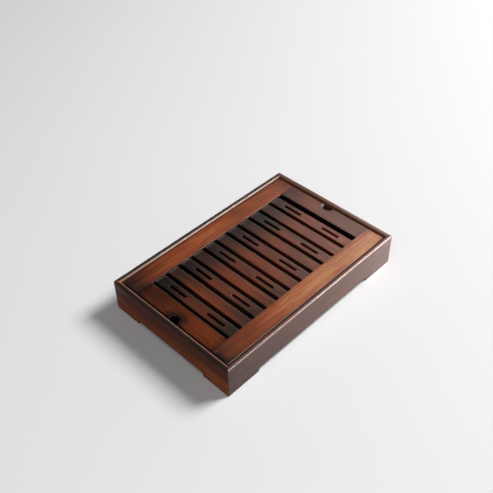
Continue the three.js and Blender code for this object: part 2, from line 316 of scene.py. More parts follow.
def skin(bm, rings):
    """Closed faces over rings of equal counts, capped at both ends."""
    rows = [[bm.verts.new(point) for point in ring] for ring in rings]
    for low, high in zip(rows, rows[1:]):
        for i in range(len(low)):
            j = (i + 1) % len(low)
            bm.faces.new((low[i], low[j], high[j], high[i]))
    bm.faces.new(rows[0])
    bm.faces.new(rows[-1])


def loft(name, rings):
    """A closed object skinned over rings."""
    bm = bmesh.new()
    skin(bm, rings)
    return piece(name, bm)


def plain_mesh(made):
    """Bakes an object's modifiers into its mesh and removes them."""
    graph = bpy.context.evaluated_depsgraph_get()
    mesh = bpy.data.meshes.new_from_object(made.evaluated_get(graph))
    made.modifiers.clear()
    made.data = mesh


def cut(made, cutter):
    """Cuts a closed object out of another one."""
    modifier = made.modifiers.new("Kerfs", "BOOLEAN")
    modifier.operation = "DIFFERENCE"
    modifier.solver = "EXACT"
    modifier.object = cutter
    plain_mesh(made)
    made.data.set_sharp_from_angle(angle=SHARP)
    return made


def join_frame(made, body, slot, material, *nodes):
    """Gives a piece its finish and its place on the frame."""
    made.data.materials.clear()
    made.data.materials.append(material)
    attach(made, body)
    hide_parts(*nodes)


# Node trees
class Value:
    """An output of a node. Arithmetic on it adds Math nodes to its tree."""

    def __init__(self, graph, socket):
        self.graph = graph
        self.socket = socket

    def out(self, name):
        """Another output of the same node."""
        return Value(self.graph, self.socket.node.outputs[name])

    def math(self, operation, *others, reflected=False):
        """A Math node on this value and others, or on the others and this value."""
        terms = (*others, self) if reflected else (self, *others)
        return self.graph.node("ShaderNodeMath", {"operation": operation}, dict(enumerate(terms)))

    __add__ = partialmethod(math, "ADD")
    __radd__ = partialmethod(math, "ADD", reflected=True)
    __sub__ = partialmethod(math, "SUBTRACT")
    __rsub__ = partialmethod(math, "SUBTRACT", reflected=True)
    __mul__ = partialmethod(math, "MULTIPLY")
    __rmul__ = partialmethod(math, "MULTIPLY", reflected=True)
    __truediv__ = partialmethod(math, "DIVIDE")
    __rtruediv__ = partialmethod(math, "DIVIDE", reflected=True)
    __neg__ = partialmethod(math, "MULTIPLY", -1.0)
    __abs__ = partialmethod(math, "ABSOLUTE")

    def band(self, low, high):
        """Rises smoothly from 0 at low to 1 at high."""
        return self.graph.node("ShaderNodeMapRange", {"interpolation_type": "SMOOTHSTEP"},
                               {"Value": self, "From Min": low, "From Max": high})


class Graph:
    """A node tree with one method that makes any node in it."""

    def __init__(self, tree):
        self.tree = tree
        tree.nodes.clear()

    def node(self, kind, settings=None, sockets=None, output=0):
        """Makes a node, gives it its settings and then its sockets, and returns one of its outputs."""
        made = self.tree.nodes.new(kind)
        for name, setting in (settings or {}).items():
            if name == "stops":
                self._set_stops(made.color_ramp, setting)
            elif name == "steps":
                made.color_ramp.interpolation = setting
            else:
                setattr(made, name, setting)
        for key, value in (sockets or {}).items():
            links = value if isinstance(value, (list, tuple)) else [value]
            if isinstance(links[0], Value):
                for link in links:
                    self.tree.links.new(link.socket, made.inputs[key])
            else:
                made.inputs[key].default_value = value
        return Value(self, made.outputs[output]) if made.outputs else None

    def _set_stops(self, ramp, stops):
        while len(ramp.elements) > 1:
            ramp.elements.remove(ramp.elements[-1])
        for number, (position, shade) in enumerate(stops):
            element = ramp.elements[0] if number == 0 else ramp.elements.new(position)
            element.position = position
            element.color = (*shade, 1.0)


class Finish(Graph):
    """A material's tree and the patterns that the finishes share."""

    def __init__(self, name):
        self.material = bpy.data.materials.new(name)
        self.material.use_nodes = True
        super().__init__(self.material.node_tree)
        self.place = self.node("ShaderNodeTexCoord", output="Object")
        self.x = self.node("ShaderNodeSeparateXYZ", sockets={"Vector": self.place})
        self.y = self.x.out("Y")
        self.z = self.x.out("Z")

    def noise(self, scale, detail=2.0, roughness=0.55, shift=0.0):
        """Noise whose cells are one over the scale long on each axis."""
        place = self.node("ShaderNodeMapping", None, {
            "Vector": self.place, "Location": [part * shift for part in SKEW], "Scale": scale})
        return self.node("ShaderNodeTexNoise", None, {
            "Vector": place, "Scale": 1.0, "Detail": detail, "Roughness": roughness})

    def grain(self, axis, along, across, detail, shift):
        """Noise drawn out along the grain."""
        scale = [across, across, across]
        scale[axis] = along
        return self.noise(scale, detail, roughness=0.6, shift=shift)

    def patch(self, centre, radii, warp=0.0):
        """1 at a centre in millimetres, falling smoothly to 0 at the radii."""
        away = self.place
        for operation, parts in (("SUBTRACT", centre), ("DIVIDE", radii)):
            away = self.node("ShaderNodeVectorMath", {"operation": operation},
                             {0: away, 1: [part * MM for part in parts]})
        distance = self.node("ShaderNodeVectorMath", {"operation": "LENGTH"}, {0: away}, "Value")
        return 1 - (distance + warp).band(0.0, 1.0)

    def below(self, low, high, top=TRAY_HEIGHT):
        """Rises from 0 to 1 between two depths, in millimetres, below a top."""
        return self.z.band(top - low * MM, top - high * MM)

    def mix(self, factor, first, second):
        """Two colours mixed. Inputs 6 and 7 and output 2 are the node's sockets for colours."""
        return self.node("ShaderNodeMix", {"data_type": "RGBA"}, {0: factor, 6: first, 7: second}, 2)

    def surface(self, sockets):
        """Closes the tree with one Principled shader."""
        shader = self.node("ShaderNodeBsdfPrincipled", None, sockets)
        self.node("ShaderNodeOutputMaterial", None, {"Surface": shader})
        return self.material


# Finishes
def opaque(shade, share=1.0):
    """A colour, or a share of it, with full alpha."""
    return (*[part * share for part in shade], 1.0)


def bamboo(finish, axis, tone, stains=(), painted_highlight=None, dull=SATIN, coat=0.0,
           mist=0.12, gloss=0.5, relief=0.08, figure=1.0):
    """Stained pressed bamboo with its grain along an axis. A tone of 0 is charred, and one of 1 is honey.

    Stains are patches of tone as (centre, radii, amount); the pale mix is a painted highlight on edges and
    rims. Dull is the roughness, coat and mist are the clear coat and its roughness, and figure is the grain's
    contrast.
    """
    colours = bpy.context.scene.tea_tray_colours
    strands, fibres, bands, holes = [finish.grain(axis, *pattern) for pattern in GRAIN]
    pores = holes.band(0.6, 0.72)
    grain = (strands - 0.5) * 0.75 + (fibres - 0.5) * 0.45 + (bands - 0.5) * 0.4 - pores * 0.12
    tone = grain * figure + tone
    if stains:
        warp = (finish.noise((26.0,) * 3, detail=3.0, roughness=0.6, shift=11.3) - 0.5) * 0.5
    for centre, radii, depth in stains:
        tone = tone + finish.patch(centre, radii, warp) * depth
    shades = (colours.char, colours.deep, colours.heart, colours.amber, colours.honey)
    base = finish.node("ShaderNodeValToRGB", {"stops": list(zip(TONE_STOPS, shades))}, {"Fac": tone})
    if painted_highlight is not None:
        base = finish.mix(painted_highlight, base, opaque(colours.painted_highlight))
    height = strands * 0.6 + fibres * 0.4 - pores * 0.3
    bump = finish.node("ShaderNodeBump", None, {
        "Strength": relief, "Distance": GRAIN_DEPTH, "Height": height})
    return finish.surface({
        "Base Color": base, "Roughness": (fibres - 0.5) * 0.2 + dull, "Normal": bump, "Coat Weight": coat,
        "Coat Roughness": mist, "IOR": LACQUER_IOR, "Specular IOR Level": gloss})


def painted_side_shade(finish, top, depth):
    """Painted shade: darker below a board's upper rounding, down the sides that face the gaps."""
    return (1 - finish.below(2.0, 0.8, top)) * depth


def lid_stain_and_painted_side_shade(finish, across, along, sides):
    """Tone of a lid board: darker towards its edges and ends, where the stain gathers, and painted shade down
    its sides.
    """
    edges = abs(across).band(0.72, 1.05) * -0.16 + abs(along).band(0.8, 1.02) * -0.2
    return edges + painted_side_shade(finish, RAIL_HIGH.z, sides)


def painted_arris_highlight(finish):
    """1 along a lid board's upper roundings: a painted highlight where the light catches the edge."""
    return finish.below(0.9, 0.5, RAIL_HIGH.z) * (1 - finish.below(0.25, 0.03, RAIL_HIGH.z))


def lid_stains(*rows):
    """Stains on the lid's top from rows of x, y, reach along x, reach along y and amount."""
    top = RAIL_HIGH.z / MM
    return [((x, y, top), (long, wide, STAIN_DEPTH), depth) for x, y, long, wide, depth in rows]


def rail_finish():
    """Rails: amber, darker at their left ends, honey and a painted sheen towards the front rail's right end.
    """
    finish = Finish("Rail bamboo")
    half = (RAIL_HIGH.y - RAIL_LOW.y) / 2
    across = abs(finish.y) + (RAIL_LOW.y + RAIL_HIGH.y) / 2
    tone = lid_stain_and_painted_side_shade(finish, across / half, finish.x / RAIL_HIGH.x, -0.6) + RAIL_TONE
    # The outer edge carries the strongest painted highlight along the rail's upper rounding.
    outer = across.band(half * 0.5, half * 0.9)
    painted_highlight = painted_arris_highlight(finish) * (outer * 0.5 + 0.05)
    stains = lid_stains(
        (-165, -92, 9, 18, -0.5),
        (-166, -104, 24, 8, -0.2),
        (-150, -88, 70, 30, -0.16),
        (-165, 92, 80, 40, -0.36),
        # The next four rows lighten the front rail towards its right end and along its outer edge: partly a
        # paler honey tone, partly a painted sheen.
        (30, -90, 110, 30, 0.27),
        (130, -92, 80, 30, 0.26),
        (110, -104, 110, 8, 0.2),
        (160, -92, 20, 20, 0.2),
        (-100, -90, 40, 30, -0.1),
        (0, 92, 60, 24, 0.1),
        (60, 92, 30, 24, -0.1),
    )
    return bamboo(finish, X_AXIS, tone, stains, painted_highlight)


def end_board_finish():
    """End boards: charred round the finger notches, warm in the left one's front half, with a painted glint
    at the right notch.
    """
    finish = Finish("End board bamboo")
    half = (END_HIGH.x - END_LOW.x) / 2
    across = abs(finish.x) + (END_LOW.x + END_HIGH.x) / 2
    tone = lid_stain_and_painted_side_shade(finish, across / half, finish.y / END_HIGH.y, -0.5) + END_TONE
    # A painted highlight along the inner edges, and a painted glint on the right notch's far side.
    inner = 1 - across.band(half * -0.9, half * -0.5)
    notch = finish.patch((161, 9, 50), (7, 5, 5))
    painted_highlight = painted_arris_highlight(finish) * (inner * 0.4 + 0.03) + notch * 0.5
    dull = SATIN - (1 - finish.x.band(-0.1, 0.1)) * 0.1
    stains = lid_stains(
        (-163, 0, 24, 26, -0.5),
        (-165, -78, 7, 9, -0.25),
        (163, 0, 16, 18, -0.3),
        (-148, -46, 22, 44, 0.1),
        (-150, 50, 24, 44, -0.14),
        (-156, 76, 26, 20, -0.14),
        (150, 62, 24, 30, -0.16),
        (150, 20, 18, 30, 0.1),
    )
    return bamboo(finish, Y_AXIS, tone, stains, painted_highlight, dull, figure=0.6)


def slat_finish():
    """Slats: plain ones warm, slotted ones darker, all darker towards the back; painted highlights on ends
    and right edges.
    """
    finish = Finish("Slat bamboo")
    count = len(SLAT_WARMTH)
    number = finish.x / SLAT_PITCH + count / 2
    across = (number.math("FRACT") - 0.5) * (2 * SLAT_PITCH / (SLAT_HIGH.x - SLAT_LOW.x))
    along = finish.y / -RAIL_HIGH.y
    stops = [(n / count, (shade, shade, shade)) for n, shade in enumerate(SLAT_WARMTH)]
    warmth = finish.node("ShaderNodeValToRGB", {"steps": "CONSTANT", "stops": stops}, {"Fac": number / count})
    edges = abs(across).band(0.75, 1.05) * -0.1
    back = along.band(0.1, 0.85) * -0.32
    front = (-along).band(0.3, 1.0) * (finish.x * (0.18 / SLAT_LOW.x) + 0.09) * -1
    tone = edges + warmth + back + front + painted_side_shade(finish, SLAT_HIGH.z, -0.05)
    # Painted highlight: a pale line on the slats' end roundings and right edges, where the light catches
    # them.
    rounding = finish.below(0.9, 0.5, SLAT_HIGH.z)
    ends = abs(along).band(0.98, 0.989)
    right = across.band(0.88, 0.95)
    return bamboo(finish, Y_AXIS, tone, painted_highlight=rounding * (ends * 0.42 + right * 0.16))


def wall_painted_shade(finish, along, reach, depth, arch):
    """Painted shade along a wall's lower edge, which follows the arch, and under the arch; also darker at the
    rim.
    """
    arched = 1 - abs(along).band(reach - 2 * MM, reach + 2 * MM)
    # Painted shade: the lower edge dark as in contact shadow, and the arch's underside dark.
    edge = 1 - (finish.z - arched * arch).band(0.2 * MM, 2.4 * MM)
    under = (1 - finish.z.band(arch, arch + 1 * MM)) * depth.band(0.5 * MM, 1.5 * MM)
    return edge * -0.34 + under * -0.25 + finish.below(6.5, 3) * -0.08


def long_wall_finish(sizes):
    """Long walls: dark stain outside, warmer inside, a polished rim; painted light and shade on the rims and
    edges.
    """
    finish = Finish("Long wall bamboo")
    half, side = TRAY_LENGTH / 2, TRAY_WIDTH / 2
    x, depth = finish.x, side - abs(finish.y)
    front = 1 - finish.y.band(-0.5 * side, 0.5 * side)
    back = 1 - front
    back_crest = finish.below(3, 1.7) * back
    crest = finish.below(2.2, 0.9) * front + back_crest
    shoulder = finish.below(4.5, 3) * (1 - crest)
    # Painted highlight: a pale line inside the back rim, where the light glances off it.
    painted = depth.band(6.2 * MM, 6.6 * MM) * finish.below(5.2, 4.2) * back

    # Painted light and shade on the rim: the front rim lighter, most on its outer shoulder and less at the
    # right end; the back rim darker.
    outer = 1 - depth.band(1 * MM, 3.8 * MM)
    top = front * (x.band(0.55 * half, half) * -0.08 + outer * 0.12 + 0.2) - 0.16
    inside = depth.band(sizes.rim * 0.62, sizes.rim * 0.85)
    # Painted shade inside the front rim; the upper inner face warmer; a painted highlight line inside the
    # back rim.
    inner = inside * (finish.below(10, 6) * 0.2 - front * 0.4) + painted * 0.5
    edges = wall_painted_shade(finish, x, half - sizes.long_foot, depth, sizes.arch)
    # The slope along x is painted light: the walls lighter towards the right end, nearer the lamps.
    tone = edges + finish.below(3.2, 1.2) * top + inner + x * (0.05 / half) + LONG_TONE

    fade = 1 - x.band(-0.6 * half, 0.6 * half)
    shine = fade * (front * 0.4 + 0.3) - front * 0.2 + 0.5
    face = x.band(0.4 * half, half) * front * (1 - finish.below(6.5, 4)) * 0.48
    coat = shoulder * shine + finish.below(6.5, 3) * 0.05 + face
    # Painted highlights: on the front rim's outer shoulder and inside the back rim, stronger towards the left
    # end.
    from_corner = x.band(-0.95 * half, -0.4 * half)
    painted_highlight = shoulder * front * 0.1 + painted * (from_corner * 0.6 + 0.35)
    dull = 0.7 - shoulder * 0.22 + back_crest * 0.2
    return bamboo(finish, X_AXIS, tone, (), painted_highlight, dull, coat, mist=0.16, gloss=0.4, **WALL_LACQUER)


def short_wall_finish(sizes):
    """Short walls: warmer towards their feet, painted shade on the left rim's outside, painted light on the
    right one.
    """
    finish = Finish("Short wall bamboo")
    half, side = TRAY_WIDTH / 2, TRAY_LENGTH / 2
    depth = side - abs(finish.x)
    right = finish.x.band(-0.6 * side, 0.6 * side)
    corner = right * (1 - finish.y.band(-0.95 * half, 0.5 * half))
    crest = finish.below(3.2, 1.2)

    inside = depth.band(sizes.rim * 0.62, sizes.rim * 0.85)
    low = (1 - finish.z.band(8 * MM, 44 * MM)) * (1 - inside)
    # Painted shade on the left rim's outer shoulder, which faces away from the light.
    outer = (1 - depth.band(2.5 * MM, 5.5 * MM)) * finish.below(5, 3.4) * (1 - right)
    # Painted bounce light on the right wall's inner face.
    warm = inside * right * finish.below(12, 6)
    edges = wall_painted_shade(finish, finish.y, half - sizes.short_foot, depth, sizes.arch)
    # The crests are lighter as a painted highlight.
    tone = edges + low * 0.34 + crest * 0.14 + outer * -0.34 + warm * 0.32 + SHORT_TONE

    # Painted highlights: on the crests, inside the right rim and on the right wall's inner face, strongest
    # near the front corner.
    upper = finish.below(4.5, 2.5)
    inner = depth.band(3 * MM, 6 * MM) * upper * right
    face = depth.band(5.5 * MM, 6.9 * MM) * right * (1 - upper)
    painted_highlight = crest * (corner * 0.16 + 0.04) + inner * (corner * 0.2 + 0.34) + face * 0.1
    coat = crest * (corner * 0.75 + 0.25)
    stains = (
        ((-175, -85, 16), (10, 50, 20), 0.14),
        ((-175, 60, 25), (10, 60, 25), -0.06),
        ((-172, 112, 54), (10, 16, 6), 0.35),
    )
    return bamboo(finish, Y_AXIS, tone, stains, painted_highlight, 0.4, coat, mist=0.32, gloss=0.1, **WALL_LACQUER)


def key_finish():
    """Corner keys: dark end grain, stained over on the front wall."""
    finish = Finish("Key bamboo")
    behind = (finish.y + TRAY_WIDTH / 2).band(0.2 * MM, 0.8 * MM)
    return bamboo(finish, Z_AXIS, KEY_TONE - behind * 0.16, dull=0.7, gloss=0.3)


def panel_finish():
    """Bottom panel: thin matt lacquer."""
    return bamboo(Finish("Panel bamboo"), X_AXIS, PANEL_TONE, dull=0.55)


def basin_finish():
    """Basin: black moulded plastic with a fine satin."""
    finish = Finish("Basin plastic")
    spark = finish.noise((2600.0,) * 3)
    cloud = finish.noise((30.0,) * 3, roughness=0.5, shift=4.0)
    bump = finish.node("ShaderNodeBump", None, {"Strength": 0.12, "Distance": 0.2 * MM, "Height": spark})
    black = bpy.context.scene.tea_tray_colours.basin
    base = finish.mix(cloud, opaque(black), opaque(black, 1.5))
    return finish.surface({"Base Color": base, "Roughness": 0.38 + spark * 0.12, "Normal": bump})


def floor_finish():
    """Floor: plain pale paper."""
    finish = Finish("Pale floor")
    fleck = finish.noise((3.0,) * 3)
    white = bpy.context.scene.tea_tray_colours.floor
    base = finish.mix(fleck, opaque(white, 0.985), opaque(white))
    return finish.surface({"Base Color": base, "Roughness": 0.8, "Specular IOR Level": 0.0})


# Trees of the pieces that repeat
class Pattern(Graph):
    """A Geometry Nodes tree with a named input for each of the values that a piece is made from."""
    KINDS = {int: "NodeSocketInt", float: "NodeSocketFloat", bpy.types.Material: "NodeSocketMaterial"}

    def __init__(self, name, values):
        super().__init__(bpy.data.node_groups.new(name, "GeometryNodeTree"))
        self.values = values
        for label, value in values.items():
            self.tree.interface.new_socket(label, in_out="INPUT", socket_type=self.KINDS[type(value)])
        self.tree.interface.new_socket("Geometry", in_out="OUTPUT", socket_type="NodeSocketGeometry")
        entry = self.node("NodeGroupInput")
        self.inputs = [entry.out(label) for label in values]

    def spot(self, x=0.0, y=0.0, z=0.0):
        """A vector."""
        return self.node("ShaderNodeCombineXYZ", None, {"X": x, "Y": y, "Z": z})

    def joined(self, *parts):
        """Several geometries in one."""
        return self.node("GeometryNodeJoinGeometry", None, {"Geometry": parts})

    def moved(self, geometry, **shift):
        """A geometry moved along the axes."""
        return self.node("GeometryNodeTransform", None, {
            "Geometry": geometry, "Translation": self.spot(**shift)})

    def loop(self, *spots):
        """A closed line through four points."""
        points = {f"Point {n}": spot for n, spot in enumerate(spots, 1)}
        return self.node("GeometryNodeCurvePrimitiveQuadrilateral", {"mode": "POINTS"}, points)

    def rounded(self, line, radius, steps):
        """A line with its corners rounded."""
        return self.node("GeometryNodeFilletCurve", {"mode": "POLY"}, {
            "Curve": line, "Count": steps, "Radius": radius, "Limit Radius": True})

    def merged(self, geometry):
        """A geometry with its coinciding points made one."""
        return self.node("GeometryNodeMergeByDistance", None, {"Geometry": geometry, "Distance": MERGE})

    def repeated(self, points, instance, **sockets):
        """Instances on points. Selection and Rotation may be given."""
        return self.node("GeometryNodeInstanceOnPoints", None, {
            "Points": points, "Instance": instance, **sockets})

    def close(self, geometry, material):
        """Ends the tree in real geometry with its material."""
        real = self.node("GeometryNodeRealizeInstances", None, {"Geometry": geometry})
        finished = self.node("GeometryNodeSetMaterial", None, {"Geometry": real, "Material": material})
        self.node("NodeGroupOutput", None, {"Geometry": finished})
        return self

    def make(self, name):
        """A plain mesh object from the tree, its inputs set by their identifiers."""
        made = placed(name, bpy.data.meshes.new(name))
        modifier = made.modifiers.new(name, "NODES")
        modifier.node_group = self.tree
        for item in self.tree.interface.items_tree:
            if item.in_out == "INPUT":
                modifier[item.identifier] = self.values[item.name]
        plain_mesh(made)
        bm = bmesh.new()
        bm.from_mesh(made.data)
        bpy.data.objects.remove(made)
        return piece(name, bm)


def slat_pattern(values):
    """Slats in a row, every other one slotted: filled outlines with a rounded edge swept round each."""
    tree = Pattern("Slatted floor", values)
    (count, pitch, width, long, thickness, base, easing, slot_width, slot_long, slot_easing, place, tenon,
     shoulder, material) = tree.inputs

    def outline(wide, high, radius, steps):
        line = tree.node("GeometryNodeCurvePrimitiveQuadrilateral", None, {"Width": wide, "Height": high})
        return tree.rounded(line, radius, steps)

    def swept(line, easing, side):
        reach = (easing + STRIP) * side
        foot, corner = tree.spot(y=-thickness), tree.spot(reach, -thickness)
        around = tree.loop(foot, corner, tree.spot(reach), tree.spot())
        opened = tree.node("GeometryNodeSetSplineCyclic", None, {"Geometry": around, "Cyclic": False})
        return tree.node("GeometryNodeCurveToMesh", None, {
            "Curve": line, "Profile Curve": tree.rounded(opened, easing, TOP_STEPS)})

    def slat(lines, sides):
        face = tree.node("GeometryNodeFillCurve", {"mode": "TRIANGLES"}, {"Curve": lines})
        shell = tree.joined(face, tree.moved(face, z=thickness), *sides)
        return tree.joined(tree.merged(shell), *tenons)

    step = shoulder * 2
    tongue = tree.spot(width - step, tenon * (1 + TENON_ROOT), thickness - step)
    block = tree.node("GeometryNodeMeshCube", None, {"Size": tongue})
    reach = long * 0.5 + tenon * ((1 - TENON_ROOT) / 2)
    tenons = [tree.moved(block, y=y, z=thickness * 0.5) for y in (reach, -reach)]

    inset, outset = (easing + STRIP) * 2, (slot_easing + STRIP) * 2
    rim = outline(width - inset, long - inset, SLAT_CORNER, SLAT_STEPS)
    wide = slot_width + outset
    slot = outline(wide, slot_long + outset, wide * ROUND_END, SLOT_STEPS)
    slots = tree.joined(tree.moved(slot, y=place), tree.moved(slot, y=-place))
    side, slot_side = swept(rim, easing, 1.0), swept(slots, slot_easing, -1.0)
    plain = slat(rim, [side])
    slotted = slat(tree.joined(rim, slots), [side, slot_side])

    start = tree.spot((count - 1) * pitch * -0.5, z=base)
    row = tree.node("GeometryNodeMeshLine", {"mode": "OFFSET"}, {
        "Count": count, "Start Location": start, "Offset": tree.spot(pitch)})
    odd = tree.node("GeometryNodeInputIndex").math("MODULO", 2.0)
    plain_row = tree.repeated(row, plain, Selection=odd)
    slotted_row = tree.repeated(row, slotted, Selection=1 - odd)
    return tree.close(tree.joined(plain_row, slotted_row), material)


def key_pattern(values):
    """Flat keys at the four corners on two levels, each turned into its corner."""
    tree = Pattern("Corner keys", values)
    long, wide, leg, corner, thickness, lower, upper, material = tree.inputs
    line = tree.loop(tree.spot(leg), tree.spot(y=leg), tree.spot(y=corner), tree.spot(corner))
    face = tree.node("GeometryNodeFillCurve", {"mode": "NGONS"}, {"Curve": line})
    raised = tree.node("GeometryNodeExtrudeMesh", {"mode": "FACES"}, {
        "Mesh": face, "Offset Scale": thickness, "Individual": False})
    plate = tree.merged(tree.joined(face, raised))
    grid = tree.node("GeometryNodeMeshGrid", None, {
        "Size X": long, "Size Y": wide, "Vertices X": 2, "Vertices Y": 2})
    corners = tree.joined(tree.moved(grid, z=lower), tree.moved(grid, z=upper))
    x = tree.node("ShaderNodeSeparateXYZ", None, {"Vector": tree.node("GeometryNodeInputPosition")})
    angle = (-x.out("Y").math("SIGN")).math("ARCTAN2", -x.math("SIGN")) - QUARTER / 2
    turn = tree.node("FunctionNodeEulerToRotation", None, {"Euler": tree.spot(z=angle)})
    return tree.close(tree.repeated(corners, plate, Rotation=turn), material)


# Wall boards
def wall_sides(sizes):
    """The fixed part of a wall's section: from its outer face over the rim and the ledge past the groove."""
    rim = sizes.rim
    springing = TRAY_HEIGHT - rim / 2
    turns = [math.pi * step / RIM_STEPS for step in range(RIM_STEPS + 1)]
    points = [(0.0, springing - STRIP)]
    points += [((1 - math.cos(turn)) * rim / 2, springing + math.sin(turn) * rim / 2) for turn in turns]
    points += [(rim, springing - STRIP), (rim, sizes.ledge)]
    edge = ease(SMALL_EASE, LOW_STEPS, side=True)
    points += [(WALL_THICKNESS - back, sizes.ledge - rise) for back, rise in edge]
    bed = WALL_THICKNESS - sizes.groove
    top, floor = PANEL_HIGH.z + PANEL_GAP, PANEL_LOW.z - PANEL_GAP
    return points + [(WALL_THICKNESS, top), (bed, top), (bed, floor), (WALL_THICKNESS, floor)]


def wall_rings(span, foot, sizes):
    """Sections along a wall as (along, depth, height), arched below and mitred at both ends."""
    radius, rise = sizes.arch_radius, sizes.arch - 2 * sizes.arch_radius
    reach = span - 2 * foot - 2 * radius
    up, down = (radius, QUARTER, BEND_STEPS), (radius, -QUARTER, BEND_STEPS)
    stand, riser = (foot - radius, 0, 1), (rise, 0, 1)
    path = trace((-span / 2, 0.0), (stand, up, riser, down, (reach, 0, 1), down, riser, up, stand))
    outer = ease(sizes.foot_ease, TOP_STEPS, side=True)
    inner = ease(sizes.inner_ease, LOW_STEPS, side=True)
    inner = [(WALL_THICKNESS - back, lift) for back, lift in reversed(inner)]
    sides = wall_sides(sizes)

    def section(u, low, normal_u, normal_z):
        first, last = ([(u + normal_u * lift, depth, low + normal_z * lift) for depth, lift in edge]
                       for edge in (outer, inner))
        return first + [(u, depth, z) for depth, z in sides] + last

    def mitred(end, angle):
        ring = []
        short = sizes.corner * (math.cos(angle) - math.sin(angle)) + sizes.mitre_gap
        for _, depth, z in section(0.0, 0.0, 0.0, 1.0):
            back = depth + sizes.corner * (1 - math.cos(angle)) * max(0.0, 1 - depth / CORNER_FADE)
            ring.append((end * (span / 2 - back - short), back, z))
        return ring

    angles = [math.pi / 4 * step / MITRE_STEPS for step in range(MITRE_STEPS + 1)]
    rings = [mitred(-1, angle) for angle in reversed(angles)]
    rings += [section(*point) for point in path[1:-1]]
    return rings + [mitred(1, angle) for angle in angles]


def kerf_cutter(sizes):
    """Eight flat wedges, one where each key lies, that run out past the corners."""
    bm = bmesh.new()
    past = 1 * MM
    flat = ((-past, -past), (KEY_LEG + past, -past), (-past, KEY_LEG + past))
    for low, side_x, side_y in product((KEY_LOW.z, UPPER_KEY_LOW.z), (-1, 1), (-1, 1)):
        levels = (low - sizes.key_gap, low + KEY_THICKNESS + sizes.key_gap)
        skin(bm, [[(side_x * (TRAY_LENGTH / 2 - a), side_y * (TRAY_WIDTH / 2 - b), z) for a, b in flat]
                  for z in levels])
    return piece("Kerf cutter", bm)


# Lid boards
def board_edge(low, high, lower, upper):
    """One edge of a board's section as (setback, height), from its lower face to its upper one."""
    below, above = ease(lower, LOW_STEPS, True, True), ease(upper, TOP_STEPS, True, True)
    return [(back, low + up) for back, up in below] + [(back, high - up) for back, up in reversed(above)]


def rail_rings(sizes):
    """Sections along a rail as (along, depth, height). The inner edge is eased at the opening only."""
    wide, half = RAIL_HIGH.y - RAIL_LOW.y, RAIL_HIGH.x
    outer, lower = sizes.arris, sizes.lower_arris

    def section(u, shrink, opened):
        inner, inner_low = (sizes.inner_arris, lower) if opened else (GLUE_GAP, GLUE_GAP)
        low, high = RAIL_LOW.z + shrink / 2, RAIL_HIGH.z - shrink
        ring = [(u, shrink + back, z) for back, z in board_edge(low, high, lower, outer)]
        return ring + [(u, wide - back, z) for back, z in reversed(board_edge(low, high, inner_low, inner))]

    stations = [(half - back, up) for back, up in reversed(ease(outer, TOP_STEPS, face=True))]
    stations += [(OPENING_LENGTH / 2 + GLUE_GAP, 0.0)]
    left = [section(-x, shrink, False) for x, shrink in stations]
    right = [section(x, shrink, False) for x, shrink in reversed(stations)]
    middle = [section(side * (OPENING_LENGTH / 2 - GLUE_GAP), 0.0, True) for side in (-1, 1)]
    return left + middle + right


def end_board_rings(sizes):
    """Sections along an end board as (along, depth, height). The outer edge runs round the notch."""
    wide = END_HIGH.x - END_LOW.x
    span = OPENING_WIDTH - 2 * GLUE_GAP
    turn = sizes.notch_corner
    bowl = sizes.notch - turn
    straight = ((span - 2 * bowl - 2 * turn) / 2, 0, 1)
    bend = (turn, QUARTER, BEND_STEPS)
    path = trace((-span / 2, 0.0), (straight, bend, (bowl, -math.pi, NOTCH_STEPS), bend, straight))
    near, far = (board_edge(END_LOW.z, END_HIGH.z, sizes.lower_arris, upper)
                 for upper in (sizes.arris, sizes.inner_arris))
    rings = []
    for u, depth, normal_u, normal_d in path:
        ring = [(u + normal_u * back, depth + normal_d * back, z) for back, z in near]
        rings.append(ring + [(u, wide - back, z) for back, z in reversed(far)])
    return rings


def turned(rings, half_x, half_y, side):
    """Sections (along, depth, height) set on one of the four sides: front, right, back or left."""
    spots = {
        "front": lambda u, depth: (u, depth - half_y),
        "right": lambda u, depth: (half_x - depth, u),
        "back": lambda u, depth: (-u, half_y - depth),
        "left": lambda u, depth: (depth - half_x, -u),
    }
    return [[(*spots[side](u, depth), z) for u, depth, z in ring] for ring in rings]


# Operators
class TEATRAY_OT_walls(Operator):
    """Builds the four mitred walls with their round rims, arches and key kerfs"""
    bl_idname = "tea_tray.walls"
    bl_label = "Walls"

    def execute(self, context):
        sizes = context.scene.tea_tray_box
        cutter = kerf_cutter(sizes)
        long_wall = wall_rings(TRAY_LENGTH, sizes.long_foot, sizes), long_wall_finish(sizes)
        short_wall = wall_rings(TRAY_WIDTH, sizes.short_foot, sizes), short_wall_finish(sizes)
        walls = {"front": long_wall, "right": short_wall, "back": long_wall, "left": short_wall}
        for side, (rings, finish) in walls.items():
            board = loft(f"{side}_wall_board", turned(rings, TRAY_LENGTH / 2, TRAY_WIDTH / 2, side))
            join_frame(cut(board, cutter), "tray_box", "wall_bamboo", finish, f"{side}_wall")
        bpy.data.objects.remove(cutter)
        return {"FINISHED"}


class TEATRAY_OT_keys(Operator):
    """Lays the eight dark keys into the corners"""
    bl_idname = "tea_tray.keys"
    bl_label = "Corner keys"

    def execute(self, context):
        sizes = context.scene.tea_tray_box
        finish = key_finish()
        keys = key_pattern({
            "Length": TRAY_LENGTH, "Width": TRAY_WIDTH, "Leg": KEY_LEG,
            "Corner": sizes.corner * (2 - math.sqrt(2)), "Thickness": KEY_THICKNESS,
            "Lower": KEY_LOW.z, "Upper": UPPER_KEY_LOW.z, "Material": finish}).make("corner_keys")
        join_frame(keys, "tray_box", "key_bamboo", finish, *KEY_NODES)
        return {"FINISHED"}


